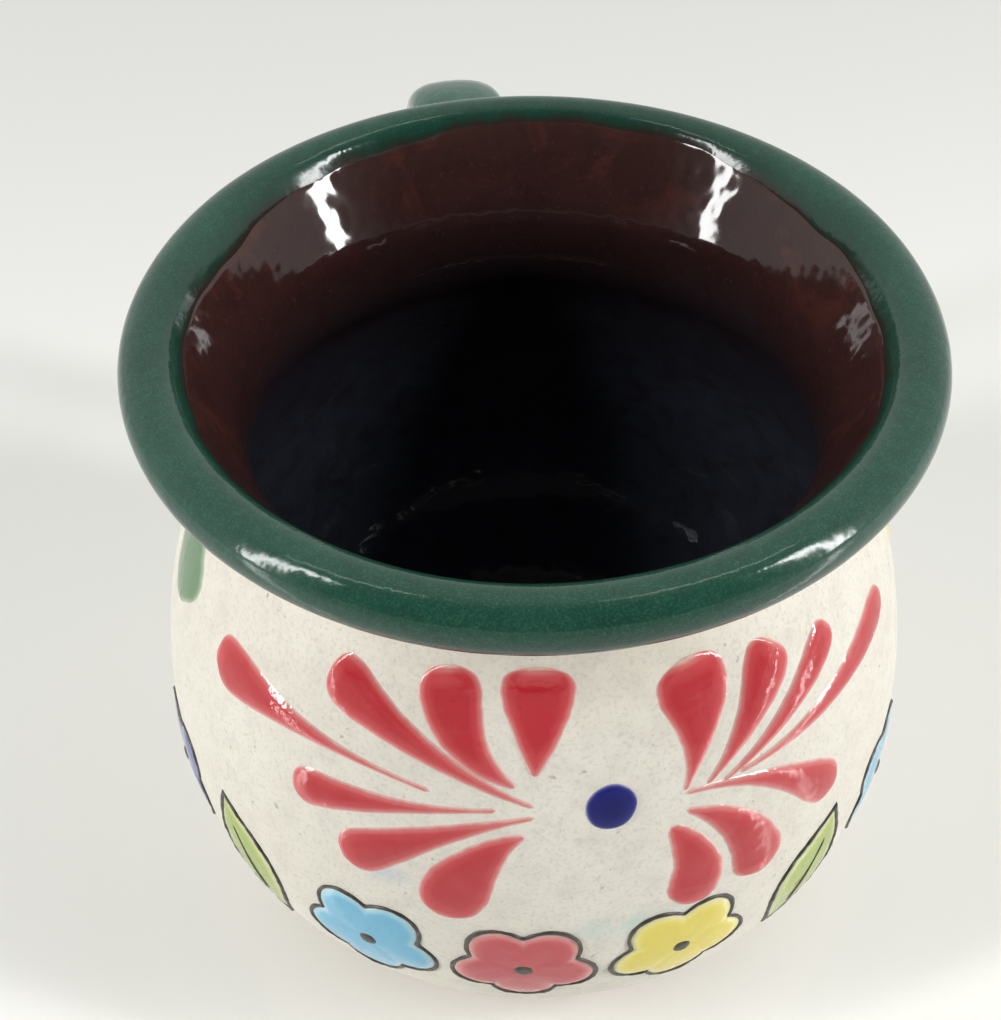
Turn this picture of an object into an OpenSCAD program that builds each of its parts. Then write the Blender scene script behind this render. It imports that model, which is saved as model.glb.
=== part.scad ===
// Jarrito clay mug: a wheel-thrown pot with a rolled lip and a pulled ear handle,
// coated in cream slip, glazed at the lip and inside, and painted by brush.
// Millimetres, +Z up. The origin is on the table under the middle of the pot.
// The handle points to +Y and the painted flower faces -Y.

/* [Body] */
// Height from the table to the top of the lip
mug_h = 92; // [80:1:110]
// Largest diameter, over the slip
belly_d = 94; // [88:0.5:102]
// Height of the largest diameter
belly_z = 36; // [31:0.5:37]
// Radius of the outline from the belly down to the foot
belly_low_r = 36; // [35:0.5:39]
// Thickness of the finished wall, coats included
wall_t = 4.6; // [3.6:0.1:5.8]

/* [Lip and neck] */
// Diameter over the lip
lip_d = 90; // [84:0.5:98]
// Thickness of the rolled lip
lip_t = 6.6; // [5.4:0.1:8]
// How far the neck draws in from the edge of the lip, outside
neck_in = 9.2; // [8:0.1:10.5]
// Radius of the hollow under the lip, outside
neck_r = 8; // [6:0.5:10]
// Lean of the flare inside the lip, from upright
flare_a = 30; // [20:1:38]
// Radius of the throat inside, below the flare
throat_r = 14; // [9:0.5:17]

/* [Foot and floor] */
// Diameter of the foot
foot_d = 54; // [48:0.5:60]
// Radius of the fillet between the foot and the belly
foot_fillet_r = 2; // [1:0.1:3.5]
// Bevel on the edges of the foot
foot_bevel = 0.8; // [0.3:0.1:1.2]
// Width of the ring that the pot stands on
foot_ring_w = 6; // [4:0.5:9]
// Depth of the turned hollow inside the foot ring
foot_hollow_h = 1.8; // [0.8:0.1:2.6]
// Height of the floor inside, over the glaze
floor_z = 6; // [4.6:0.1:8]
// Radius between the floor and the wall inside
floor_fillet_r = 10; // [7:0.5:13]

/* [Coats] */
// Thickness of the slip outside and of the glaze at the lip and inside
coat_t = 0.4; // [0.3:0.05:0.6]
// Thickness of the painted enamel
enamel_t = 0.35; // [0.25:0.05:0.5]
// Height of the lower edge of the slip
slip_edge_z = 6.5; // [5.5:0.5:14]
// Where the lip glaze ends outside, below the middle of the lip
lip_glaze_a = 50; // [20:1:70]
// How far the lip glaze runs down inside, from the top of the lip
lip_glaze_h = 3.4; // [3:0.1:6]

/* [Handle] */
// Width of the handle
handle_w = 13.4; // [10:0.1:16]
// Thickness of the handle
handle_t = 8.6; // [6:0.2:11]
// Drop from the top of the lip to the upper root
handle_top_drop = 15; // [13:0.5:22]
// Drop from the largest diameter to the lower root
handle_low_drop = 6; // [0:0.5:12]
// How far the upper bend pulls out past the belly
handle_upper_reach = 39; // [32:1:48]
// How far the lower bend pulls out past the belly
handle_lower_reach = 25; // [18:1:34]
// How far the upper bend pulls up from the upper root
handle_rise = 24.3; // [14:0.1:28]
// How far the lower bend pulls up from the lower root
handle_sweep = 6; // [0:1:12]
// How much wider the handle gets at its roots, as a share
handle_root_share = 0.22; // [0:0.02:0.4]
// Thickness of the slip that joins the handle to the pot
lute_t = 0.8; // [0.6:0.1:1.2]

/* [Flower] */
// Width of the flower, measured round the belly
flower_w = 110; // [90:1:125]
// Height of the flower
flower_h = 36; // [28:1:38]
// Drop from the top of the lip to the dot in the middle of the flower
flower_drop = 32; // [31:0.5:35]
// Turn of the flower from the point opposite the handle
flower_a = 0.8; // [-8:0.1:8]
// Diameter of the dot
dot_d = 5.6; // [4:0.1:8]
// Width of a stroke where the brush lifts off
stroke_end_w = 0.7; // [0.4:0.1:0.8]

/* [Border] */
// Drop from the dot to the middle of the border
border_drop = 26; // [25.5:0.5:30]
// Diameter of a blossom, without its outline
blossom_d = 16.4; // [12:0.2:18]
// Length of a leaf, without its outline
leaf_l = 18; // [13:0.2:19]
// Width of a leaf, without its outline
leaf_w = 9.6; // [6:0.2:12]
// Width of the dark outline
outline_w = 0.6; // [0.4:0.1:1.2]
// Diameter of the dark eye of a blossom
eye_d = 2.6; // [1.6:0.1:4]

/* [Hidden] */

// Largest gap between a round outline and its chords
arc_sag = 0.03;
// Overrun of a cut past the face it opens
over = 1;
// Sides of the handle's section, and rings along it
handle_sides = 20;
handle_rings = 32;
// Squareness of the handle's section: 2 is an ellipse
handle_square = 2.5;
// Steps along each side of a brush stroke, and round a border motif
stroke_steps = 12;
motif_steps = 40;
// Sides drawn for the turned pot and for the round marks of paint
pot_sides = 144;
mark_sides = 48;
// A prism that cuts out paint starts inside the pot and ends outside it. Both
// lengths are shares of the pot's diameter.
prism_start_share = 0.25;
prism_length_share = 0.4;

belly_r = belly_d / 2;
lip_r = lip_t / 2;
foot_r = foot_d / 2;

// Centres of the arcs of the outline, as [radius, height]. Offsets keep them.
lip_c = [lip_d / 2 - lip_r, mug_h - lip_r];
neck_c = lip_c + hung([lip_r - neck_in + neck_r, 0], lip_r + neck_r);
// Radius of the outline from the belly up to the neck, which meets both smoothly
belly_up_r = touching_r(neck_c - [belly_r, belly_z], neck_r);
up_c = [belly_r - belly_up_r, belly_z];
low_c = [belly_r - belly_low_r, belly_z];
foot_c = [foot_r + foot_fillet_r,
          belly_z - leg(belly_low_r + foot_fillet_r, foot_r + foot_fillet_r - low_c[0])];

// Inside, the flare leaves the lip as a straight line and meets the throat arc.
flare_out = [cos(flare_a), -sin(flare_a)];
flare_down = [-sin(flare_a), -cos(flare_a)];
throat_0 = lip_c + (throat_r - lip_r) * flare_out;
flare_fall = -(throat_0 - up_c) * flare_down
             - leg(belly_up_r - wall_t + throat_r, cross2(throat_0 - up_c, flare_down));
throat_c = throat_0 + flare_fall * flare_down;
floor_c = [low_c[0] + leg(belly_low_r - wall_t - floor_fillet_r, belly_z - floor_z - floor_fillet_r),
           floor_z + floor_fillet_r];

// Angles where one arc hands over to the next
foot_join_a = heading(foot_c, low_c);
neck_join_a = heading(up_c, neck_c);
lip_join_a = heading(neck_c, lip_c);
throat_join_a = heading(throat_c, up_c) + 360;
floor_join_a = heading(low_c, floor_c);

// Heights where the coats end
lip_glaze_out_z = lip_c[1] - lip_r * sin(lip_glaze_a);
lip_glaze_in_z = mug_h - lip_glaze_h;

// Heights of the painting
flower_z = mug_h - flower_drop;
border_z = flower_z - border_drop;

// Handle centreline: a cubic curve between the two roots, as [radius, height]
handle_top_z = mug_h - handle_top_drop;
handle_low_z = belly_z - handle_low_drop;
root_sink = wall_t + coat_t;
handle_ctrl = [[surface_r(handle_top_z) - root_sink, handle_top_z - root_sink / 2],
               [belly_r + handle_upper_reach, handle_top_z + handle_rise],
               [belly_r + handle_lower_reach, handle_low_z + handle_sweep],
               [surface_r(handle_low_z) - root_sink, handle_low_z]];

// Brush strokes as [tail, middle, head, width, taper]. Places are shares of the
// flower's width and height from the dot; a larger taper gives a thinner tail.
left_stroke_shares = [
    [[-0.19, 0.025], [-0.33, 0.065], [-0.503, 0.055], 0.062, 1.9],
    [[-0.08, 0.005], [-0.20, 0.145], [-0.327, 0.295], 0.054, 1.35],
    [[-0.10, 0.07], [-0.152, 0.20], [-0.181, 0.41], 0.058, 1.1],
    [[-0.08, 0.105], [-0.077, 0.26], [-0.074, 0.415], 0.069, 0.9],
    [[-0.12, -0.01], [-0.222, -0.05], [-0.352, -0.125], 0.052, 1.6],
    [[-0.08, -0.03], [-0.178, -0.12], [-0.284, -0.30], 0.056, 1.5],
    [[-0.09, -0.095], [-0.14, -0.225], [-0.175, -0.465], 0.073, 1.0]];
right_stroke_shares = [
    [[0.08, -0.015], [0.098, 0.16], [0.105, 0.372], 0.074, 1.2],
    [[0.12, -0.005], [0.168, 0.12], [0.224, 0.305], 0.052, 1.1],
    [[0.14, 0.005], [0.222, 0.08], [0.313, 0.215], 0.036, 1.0],
    [[0.17, 0], [0.275, 0], [0.44, 0.05], 0.040, 1.3],
    [[0.08, -0.03], [0.18, -0.12], [0.27, -0.35], 0.046, 1.4],
    [[0.08, -0.09], [0.14, -0.25], [0.163, -0.495], 0.062, 0.9],
    [[0.062, -0.13], [0.088, -0.31], [0.078, -0.485], 0.063, 0.6]];
green_stroke_share = [[-0.68, 0.36], [-0.62, 0.13], [-0.585, 0.03], 0.080, 0.4];
yellow_stroke_share = [[0.60, 0.30], [0.59, 0.08], [0.58, -0.08], 0.055, 0.6];

// Border motifs: the turn from one to the next, and the turn of the first
border_pitch_a = 22.5;
border_start_a = -79;
blossom_places = [["blue", 0], ["sky", 2], ["red", 3], ["yellow", 4], ["sky", 6]];
leaf_places = [["lime", 1, 28], ["lime", 5, -28]];
blossom_petals = 5;
blossom_wave_share = 0.26;
// Reach of the outline past a leaf's tips, and length of a leaf's rib
leaf_tip_share = 1.6;
leaf_rib_share = 0.6;

// Length of the second side of a right triangle
function leg(hyp, side) = sqrt(hyp * hyp - side * side);

function cross2(a, b) = a[0] * b[1] - a[1] * b[0];

function heading(from, to) = atan2(to[1] - from[1], to[0] - from[0]);

// The point straight under a sideways step, at a length from where the step starts
function hung(step, length) = [step[0], -leg(length, step[0])];

// Radius of a circle that goes straight up through [0, 0], with its centre on the
// left, and touches from inside out a circle of radius r about c
function touching_r(c, r) = (c * c - r * r) / (2 * (r - c[0]));

// Points of an arc about c, from angle a0 to a1, with chords that stay within arc_sag
function arc(c, r, base_r, a0, a1) =
    let (n = max(2, ceil(abs(a1 - a0) / (2 * acos(1 - arc_sag / base_r)))))
    [for (i = [0 : n]) let (a = a0 + (a1 - a0) * i / n) c + r * [cos(a), sin(a)]];

// Outline of the foot and the outside up to the top of the lip, grown by o
function outside(o) = concat(
    arc(foot_c, foot_fillet_r - o, foot_fillet_r, 180, foot_join_a),
    arc(low_c, belly_low_r + o, belly_low_r, foot_join_a - 180, 0),
    arc(up_c, belly_up_r + o, belly_up_r, 0, neck_join_a),
    arc(neck_c, neck_r - o, neck_r, neck_join_a + 180, lip_join_a),
    arc(lip_c, lip_r + o, lip_r, lip_join_a - 180, 90));

// Outline of the inside, from the top of the lip down to the floor, grown by o
function inside(o) = concat(
    arc(lip_c, lip_r + o, lip_r, 90, 180 - flare_a),
    arc(throat_c, throat_r + o, throat_r, 180 - flare_a, throat_join_a),
    arc(up_c, belly_up_r - wall_t - o, belly_up_r, throat_join_a - 180, 0),
    arc(low_c, belly_low_r - wall_t - o, belly_low_r, 0, floor_join_a),
    arc(floor_c, floor_fillet_r - o, floor_fillet_r, floor_join_a, -90),
    [[0, floor_z + o]]);

// Outline of the underside, from the axis out to the foot's upright side
function underside(o) =
    let (hollow_r = foot_r - foot_ring_w)
    [[0, foot_hollow_h],
     [hollow_r - foot_hollow_h, foot_hollow_h],
     [hollow_r, foot_bevel],
     [hollow_r + foot_bevel, 0],
     [foot_r + o - foot_bevel, 0],
     [foot_r + o, foot_bevel]];

// Radius of the finished outside at height z
function surface_r(z) =
    z < belly_z ? low_c[0] + leg(belly_low_r, z - belly_z) :
    z < up_c[1] + belly_up_r * sin(neck_join_a) ? up_c[0] + leg(belly_up_r, z - belly_z) :
    neck_c[0] - leg(neck_r, z - neck_c[1]);

// Section of the wall, grown by o all round
module wall_section(o) {
    polygon(concat(underside(o), outside(o), inside(o)));
}

// Everything inside the outer surface, grown by o
module filled_section(o) {
    polygon(concat([[0, 0], [foot_r + o, 0]], outside(o), [[0, mug_h + o]]));
}

// Everything inside the inner surface, grown by o into the pot
module hollow_section(o) {
    polygon(concat([[0, mug_h + over], [lip_c[0], mug_h + over]], inside(o)));
}

module revolve() {
    rotate_extrude($fn = pot_sides) children();
}

// A ring-shaped region of a section: radii r0 to r1 and heights z0 to z1
module window(r0, r1, z0, z1) {
    translate([r0, z0]) square([r1 - r0, z1 - z0]);
}

module outer_solid(o) {
    revolve() filled_section(o);
}

// Thin layer of enamel all round the pot, between two heights
module enamel_layer(z0, z1) {
    revolve() intersection() {
        difference() {
            filled_section(enamel_t);
            filled_section(0);
        }
        window(0, belly_d, z0, z1);
    }
}

// Handle centreline and its direction at t from 0 to 1
function handle_at(t) =
    pow(1 - t, 3) * handle_ctrl[0] + 3 * t * pow(1 - t, 2) * handle_ctrl[1]
    + 3 * t * t * (1 - t) * handle_ctrl[2] + pow(t, 3) * handle_ctrl[3];

function handle_way(t) =
    let (v = pow(1 - t, 2) * (handle_ctrl[1] - handle_ctrl[0])
             + 2 * t * (1 - t) * (handle_ctrl[2] - handle_ctrl[1])
             + t * t * (handle_ctrl[3] - handle_ctrl[2]))
    v / norm(v);

function power_of(x, p) = sign(x) * pow(abs(x), p);

// One ring of the handle: a soft rectangle, wider near the roots
function handle_ring(t, o) =
    let (c = handle_at(t),
         d = handle_way(t),
         swell = 1 + handle_root_share * pow(abs(2 * t - 1), 4),
         half_w = handle_w / 2 * swell + o,
         half_t = handle_t / 2 * swell + o)
    [for (i = [0 : handle_sides - 1])
        let (a = 360 * i / handle_sides,
             x = half_w * power_of(cos(a), 2 / handle_square),
             y = half_t * power_of(sin(a), 2 / handle_square))
        [x, c[0] - d[1] * y, c[1] + d[0] * y]];

// Faces of a skin of rings, each joined to the next. Points count up from first.
function skin_faces(first) =
    let (n = handle_sides)
    [for (k = [0 : handle_rings - 1], i = [0 : n - 1])
        let (a = first + k * n + i, b = first + k * n + (i + 1) % n)
        each [[a, b + n, a + n], [a, b, b + n]]];

function handle_points(o) =
    [for (k = [0 : handle_rings]) each handle_ring(k / handle_rings, o)];

function flipped(faces) = [for (f = faces) [f[2], f[1], f[0]]];

// The whole handle sweep, grown by o, from inside the neck to inside the belly
module handle_sweep_solid(o) {
    n = handle_sides;
    near_end = [for (i = [n - 1 : -1 : 0]) i];
    far_end = [for (i = [0 : n - 1]) handle_rings * n + i];
    polyhedron(points = handle_points(o), faces = concat([near_end], skin_faces(0), [far_end]));
}

// A sleeve round the handle sweep, between the skins grown by o_in and o_out
module handle_sleeve(o_in, o_out) {
    n = handle_sides;
    inner = n * (handle_rings + 1);
    ends = [for (k = [0, handle_rings], i = [0 : n - 1])
        let (a = k * n + i, b = k * n + (i + 1) % n, f = [[a, a + inner, b + inner], [a, b + inner, b]])
        each (k == 0 ? f : flipped(f))];
    polyhedron(points = concat(handle_points(o_out), handle_points(o_in)),
               faces = concat(skin_faces(0), flipped(skin_faces(inner)), ends));
}

// Half of the handle's space: 1 is above the middle of the handle, -1 below
module handle_half(side) {
    span = belly_d;
    mid_z = (handle_top_z + handle_low_z) / 2;
    translate([-span / 2, 0, side > 0 ? mid_z : mid_z - span]) cube([span, 2 * span, span]);
}

// Joining slip under one root of the handle
module lute(side) {
    difference() {
        intersection() {
            handle_sweep_solid(-coat_t);
            outer_solid(lute_t - coat_t);
            handle_half(side);
        }
        outer_solid(-coat_t);
    }
}

// Place on the pot of a point of the flower: [turn about the axis, height]
function flower_place(p) =
    [flower_a + p[0] / belly_r * 180 / PI, flower_z + p[1]];

function stroke_bend(s) = 2 * s[1] - (s[0] + s[2]) / 2;

function stroke_at(s, t) =
    let (p = pow(1 - t, 2) * s[0] + 2 * t * (1 - t) * stroke_bend(s) + t * t * s[2])
    [p[0] * flower_w, p[1] * flower_h];

function stroke_way(s, t) =
    let (v = (1 - t) * (stroke_bend(s) - s[0]) + t * (s[2] - stroke_bend(s)),
         w = [v[0] * flower_w, v[1] * flower_h])
    w / norm(w);

// Half the width of a stroke at t: a thin tail that swells into a round head
function stroke_half_w(s, t) =
    let (w = s[3] * flower_w,
         reach = norm(stroke_at(s, 1) - stroke_at(s, 0)),
         round_p = 4 * reach / w,
         peak_t = pow(2 * s[4] / (round_p + 2 * s[4]), 1 / round_p),
         peak = pow(peak_t, s[4]) * sqrt(1 - pow(peak_t, round_p)))
    sqrt(1 - pow(t, round_p)) * (stroke_end_w / 2 + (w - stroke_end_w) / 2 * pow(t, s[4]) / peak);

// One point of a stroke's outline, as [turn about the axis, height]
function stroke_edge(s, t, side) =
    let (p = flower_place(stroke_at(s, t)),
         d = stroke_way(s, t),
         w = side * stroke_half_w(s, t))
    [p[0] - d[1] * w / surface_r(p[1]) * 180 / PI, p[1] + d[0] * w];

// Flatten [turn, height] onto the upright plane that faces the turn mid_a
function flatten(p, mid_a) = [surface_r(p[1]) * sin(p[0] - mid_a), p[1]];

// A prism that runs outwards through the wall, on the side at turn mid_a
module outward_prism(mid_a) {
    rotate([0, 0, mid_a]) translate([0, -belly_d * prism_start_share, 0])
        rotate([90, 0, 0]) linear_extrude(belly_d * prism_length_share) children();
}

module stroke_prism(s) {
    mid_a = flower_place(stroke_at(s, 0.5))[0];
    n = stroke_steps;
    outline = concat([for (i = [0 : n]) stroke_edge(s, sin(90 * i / n), 1)],
                     [for (i = [n - 1 : -1 : 0]) stroke_edge(s, sin(90 * i / n), -1)]);
    outward_prism(mid_a) polygon([for (p = outline) flatten(p, mid_a)]);
}

module strokes(list) {
    intersection() {
        enamel_layer(border_z, lip_glaze_out_z);
        union() for (s = list) stroke_prism(s);
    }
}

// Blossom outline: a ring of round petals, one of them straight down, grown by o
module blossom(o) {
    r = blossom_d / 2;
    polygon([for (i = [0 : motif_steps - 1])
        let (a = 360 * i / motif_steps,
             wave = 1 - blossom_wave_share * (1 - abs(cos(blossom_petals / 2 * (a + 90)))))
        (r * wave + o) * [cos(a), sin(a)]]);
}

// Leaf outline: two arcs that meet in points, grown by o
module leaf(lean_a, o) {
    half_l = leaf_l / 2 + leaf_tip_share * o;
    half_w = leaf_w / 2 + o;
    n = motif_steps / 2;
    rotate(lean_a) polygon(concat(
        [for (i = [0 : n - 1]) let (t = i / n) [half_w * sin(180 * t), half_l * (2 * t - 1)]],
        [for (i = [0 : n - 1]) let (t = i / n) [-half_w * sin(180 * t), half_l * (1 - 2 * t)]]));
}

function border_turn(k) = border_start_a + k * border_pitch_a;

module border_prism(k) {
    outward_prism(border_turn(k)) translate([0, border_z]) children();
}

module border_layer() {
    margin = blossom_d;
    enamel_layer(border_z - margin, border_z + margin);
}

// All border motifs of one colour
module border_paint(colour) {
    intersection() {
        border_layer();
        union() {
            for (p = blossom_places) if (p[0] == colour)
                border_prism(p[1]) difference() {
                    blossom(0);
                    circle(d = eye_d, $fn = mark_sides);
                }
            for (p = leaf_places) if (p[0] == colour)
                border_prism(p[1]) difference() {
                    leaf(p[2], 0);
                    leaf_rib(p[2]);
                }
        }
    }
}

// Middle rib of a leaf
module leaf_rib(lean_a) {
    rotate(lean_a) square([outline_w, leaf_l * leaf_rib_share], center = true);
}

module clay_body() {
    color([0.70, 0.45, 0.33]) revolve() wall_section(-coat_t);
}

module slip_coat() {
    color([0.90, 0.88, 0.83]) difference() {
        revolve() intersection() {
            difference() {
                filled_section(0);
                filled_section(-coat_t);
            }
            window(0, belly_d, slip_edge_z, lip_glaze_out_z);
        }
        handle_sweep_solid(-coat_t);
    }
}

module lip_glaze() {
    color([0.10, 0.29, 0.23]) revolve() intersection() {
        difference() {
            wall_section(0);
            wall_section(-coat_t);
        }
        union() {
            window(lip_c[0], belly_d, lip_glaze_out_z, mug_h + over);
            window(0, lip_c[0], lip_glaze_in_z, mug_h + over);
        }
    }
}

module liner_glaze() {
    color([0.17, 0.06, 0.05]) revolve() intersection() {
        difference() {
            hollow_section(-coat_t);
            hollow_section(0);
        }
        window(0, belly_d, 0, lip_glaze_in_z);
    }
}

module handle() {
    color([0.70, 0.45, 0.33]) difference() {
        handle_sweep_solid(-coat_t);
        outer_solid(lute_t - coat_t);
    }
}

module handle_glaze() {
    color([0.10, 0.29, 0.23]) difference() {
        handle_sleeve(-coat_t, 0);
        outer_solid(0);
    }
}

module upper_lute() {
    color([0.62, 0.38, 0.28]) lute(1);
}

module lower_lute() {
    color([0.62, 0.38, 0.28]) lute(-1);
}

module red_strokes_left() {
    color([0.79, 0.16, 0.22]) strokes(left_stroke_shares);
}

module red_strokes_right() {
    color([0.79, 0.16, 0.22]) strokes(right_stroke_shares);
}

module blue_dot() {
    color([0.10, 0.12, 0.42]) intersection() {
        enamel_layer(border_z, lip_glaze_out_z);
        outward_prism(flower_a) translate([0, flower_z]) circle(d = dot_d, $fn = mark_sides);
    }
}

module green_side_stroke() {
    color([0.45, 0.62, 0.45]) strokes([green_stroke_share]);
}

module yellow_side_stroke() {
    color([0.93, 0.86, 0.52]) strokes([yellow_stroke_share]);
}

module border_blue() {
    color([0.18, 0.24, 0.55]) border_paint("blue");
}

module border_lime() {
    color([0.58, 0.70, 0.36]) border_paint("lime");
}

module border_sky() {
    color([0.42, 0.72, 0.86]) border_paint("sky");
}

module border_red() {
    color([0.83, 0.30, 0.34]) border_paint("red");
}

module border_yellow() {
    color([0.93, 0.84, 0.33]) border_paint("yellow");
}

module border_outlines() {
    color([0.13, 0.11, 0.10]) intersection() {
        border_layer();
        union() {
            for (p = blossom_places) border_prism(p[1]) {
                difference() {
                    blossom(outline_w);
                    blossom(0);
                }
                circle(d = eye_d, $fn = mark_sides);
            }
            for (p = leaf_places) border_prism(p[1]) {
                difference() {
                    leaf(p[2], outline_w);
                    leaf(p[2], 0);
                }
                leaf_rib(p[2]);
            }
        }
    }
}

clay_body();
slip_coat();
lip_glaze();
liner_glaze();
handle();
handle_glaze();
upper_lute();
lower_lute();
red_strokes_left();
red_strokes_right();
blue_dot();
green_side_stroke();
yellow_side_stroke();
border_blue();
border_lime();
border_sky();
border_red();
border_yellow();
border_outlines();
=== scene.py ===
"""Looks of the jarrito clay mug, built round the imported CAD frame. Metres, +Z up.

The sizes at the top repeat the ones in the part's source, in millimetres, and the meshes
are worked out in millimetres too. A turn is in degrees from the middle of the front.
"""
import math

import bmesh
import bpy
import numpy as np
from mathutils import Matrix, Vector


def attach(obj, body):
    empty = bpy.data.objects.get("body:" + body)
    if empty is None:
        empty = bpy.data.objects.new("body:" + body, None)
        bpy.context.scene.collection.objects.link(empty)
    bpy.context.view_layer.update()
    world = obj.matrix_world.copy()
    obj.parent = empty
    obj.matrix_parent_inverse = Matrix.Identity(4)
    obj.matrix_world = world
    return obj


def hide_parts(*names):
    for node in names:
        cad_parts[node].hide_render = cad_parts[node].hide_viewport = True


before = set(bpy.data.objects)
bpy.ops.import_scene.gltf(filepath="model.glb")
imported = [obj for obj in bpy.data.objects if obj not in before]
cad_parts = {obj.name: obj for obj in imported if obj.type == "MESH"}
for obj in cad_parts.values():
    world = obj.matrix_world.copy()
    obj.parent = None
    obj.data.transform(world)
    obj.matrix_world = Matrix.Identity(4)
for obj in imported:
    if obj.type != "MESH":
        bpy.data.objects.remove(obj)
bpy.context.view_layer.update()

MM = 0.001
MERGE = 0.002    # points closer than this are one, in mm

# ---------------------------------------------------------------- sizes, in mm
MUG_H, BELLY_D, BELLY_Z = 92.0, 94.0, 36.0
BELLY_LOW_R, WALL_T = 36.0, 4.6
LIP_D, LIP_T, NECK_IN, NECK_R, FLARE_A, THROAT_R = 90.0, 6.6, 9.2, 8.0, 30.0, 14.0
FOOT_D, FOOT_FILLET_R, FOOT_BEVEL, FOOT_RING_W, FOOT_HOLLOW_H = 54.0, 2.0, 0.8, 6.0, 1.8
FLOOR_Z, FLOOR_FILLET_R, COAT_T = 6.0, 10.0, 0.4
SLIP_EDGE_Z, LIP_GLAZE_A, LIP_GLAZE_H = 6.5, 50.0, 3.4
HANDLE_W, HANDLE_T, HANDLE_TOP_DROP, HANDLE_LOW_DROP = 13.4, 8.6, 15.0, 6.0
HANDLE_UPPER_REACH, HANDLE_LOWER_REACH, HANDLE_RISE, HANDLE_SWEEP = 39.0, 25.0, 24.3, 6.0
HANDLE_ROOT_SHARE, HANDLE_SQUARE = 0.22, 2.5
FLOWER_W, FLOWER_H, FLOWER_Z, FLOWER_A, DOT_D, STROKE_END_W = 110.0, 36.0, 60.0, 0.8, 5.6, 0.7
BORDER_Z, BLOSSOM_D, LEAF_L, LEAF_W, OUTLINE_W, EYE_D = 34.0, 16.4, 18.0, 9.6, 0.6, 2.6
BORDER_PITCH_A, BORDER_START_A = 22.5, -79.0

# Strokes: tail, middle and head as shares of the flower's width and height, width, taper
LEFT_STROKES = [
    ((-0.19, 0.022), (-0.33, 0.062), (-0.503, 0.058), 0.064, 2.9),
    ((-0.08, 0.005), (-0.20, 0.145), (-0.327, 0.295), 0.055, 1.6),
    ((-0.10, 0.07), (-0.156, 0.20), (-0.184, 0.40), 0.064, 1.0),
    ((-0.08, 0.105), (-0.077, 0.26), (-0.075, 0.415), 0.073, 0.95),
    ((-0.12, -0.01), (-0.222, -0.055), (-0.352, -0.14), 0.047, 2.3),
    ((-0.08, -0.03), (-0.178, -0.128), (-0.284, -0.325), 0.056, 1.7),
    ((-0.09, -0.095), (-0.14, -0.225), (-0.175, -0.465), 0.073, 1.0)]
RIGHT_STROKES = [
    ((0.08, -0.02), (0.103, 0.16), (0.104, 0.368), 0.079, 1.5),
    ((0.106, -0.027), (0.164, 0.115), (0.222, 0.302), 0.060, 1.5),
    ((0.125, -0.040), (0.218, 0.070), (0.313, 0.215), 0.043, 1.4),
    ((0.146, -0.036), (0.270, -0.008), (0.442, 0.055), 0.046, 1.7),
    ((0.08, -0.03), (0.185, -0.12), (0.276, -0.355), 0.054, 1.9),
    ((0.08, -0.09), (0.143, -0.25), (0.166, -0.495), 0.065, 0.95),
    ((0.062, -0.135), (0.088, -0.315), (0.078, -0.492), 0.064, 0.6)]
GREEN_STROKE = ((-0.70, 0.36), (-0.645, 0.13), (-0.61, -0.01), 0.112, 0.4)
YELLOW_STROKE = ((0.60, 0.30), (0.59, 0.08), (0.58, -0.08), 0.055, 0.6)
# The border: colour, place along it, and for a leaf its lean in degrees
BLOSSOMS = [("blue", 0), ("sky", 2), ("red", 3), ("yellow", 4), ("sky", 6)]
LEAVES = [("lime", 1, 28.0), ("lime", 5, -28.0)]

SLIP_SINK = 0.15      # the slip's face lies this far below the green glaze's
LINER_SINK = 0.12     # and the liner's this far
COAT_OVERLAP = 1.4    # how far the slip and the liner run on under the lip glaze
WOBBLE = 0.16         # the hand-thrown wall strays inwards by up to twice this
PAINT_BASE = -SLIP_SINK - 0.02     # where the paint's dome starts, just under the slip's face
STROKE_BASE = -SLIP_SINK - 0.03
PAINT_BACK = -0.34    # the closed back of the paint, inside the slip
RED_H, GREEN_H, YELLOW_H, DOT_H = 0.40, 0.30, 0.28, 0.42
BLOSSOM_H, LEAF_H, LINE_H, EYE_H, RIB_H, RIB_BACK = 0.36, 0.34, 0.27, 0.56, 0.33, -0.30
FILL_GROW, RIM_N = 0.1, 150        # how far a fill runs under its line, and points of a line


# ---------------------------------------------------------------- the outline
def leg(hyp, side):
    """The other leg of a right triangle."""
    return math.sqrt(hyp * hyp - side * side)


def cross2(a, b):
    return a[0] * b[1] - a[1] * b[0]


def heading(a, b):
    return math.degrees(math.atan2(b[1] - a[1], b[0] - a[0]))


def arc(c, r, a0, a1, step=0.35):
    """Points of an arc from a0 to a1 degrees, about a step apart."""
    n = max(6, int(abs(math.radians(a1 - a0)) * r / step))
    a = np.radians(np.linspace(a0, a1, n))
    return np.c_[c[0] + r * np.cos(a), c[1] + r * np.sin(a)]


belly_r, lip_r, foot_r = BELLY_D / 2, LIP_T / 2, FOOT_D / 2
lip_c = np.array([LIP_D / 2 - lip_r, MUG_H - lip_r])
neck_step = lip_r - NECK_IN + NECK_R
neck_c = lip_c + np.array([neck_step, -leg(lip_r + NECK_R, neck_step)])
neck_off = neck_c - (belly_r, BELLY_Z)
BELLY_UP_R = float((neck_off @ neck_off - NECK_R ** 2) / (2 * (NECK_R - neck_off[0])))
up_c = np.array([belly_r - BELLY_UP_R, BELLY_Z])
low_c = np.array([belly_r - BELLY_LOW_R, BELLY_Z])
foot_c = np.array([foot_r + FOOT_FILLET_R,
                   BELLY_Z - leg(BELLY_LOW_R + FOOT_FILLET_R, foot_r + FOOT_FILLET_R - low_c[0])])
flare_out = np.array([math.cos(math.radians(FLARE_A)), -math.sin(math.radians(FLARE_A))])
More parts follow.
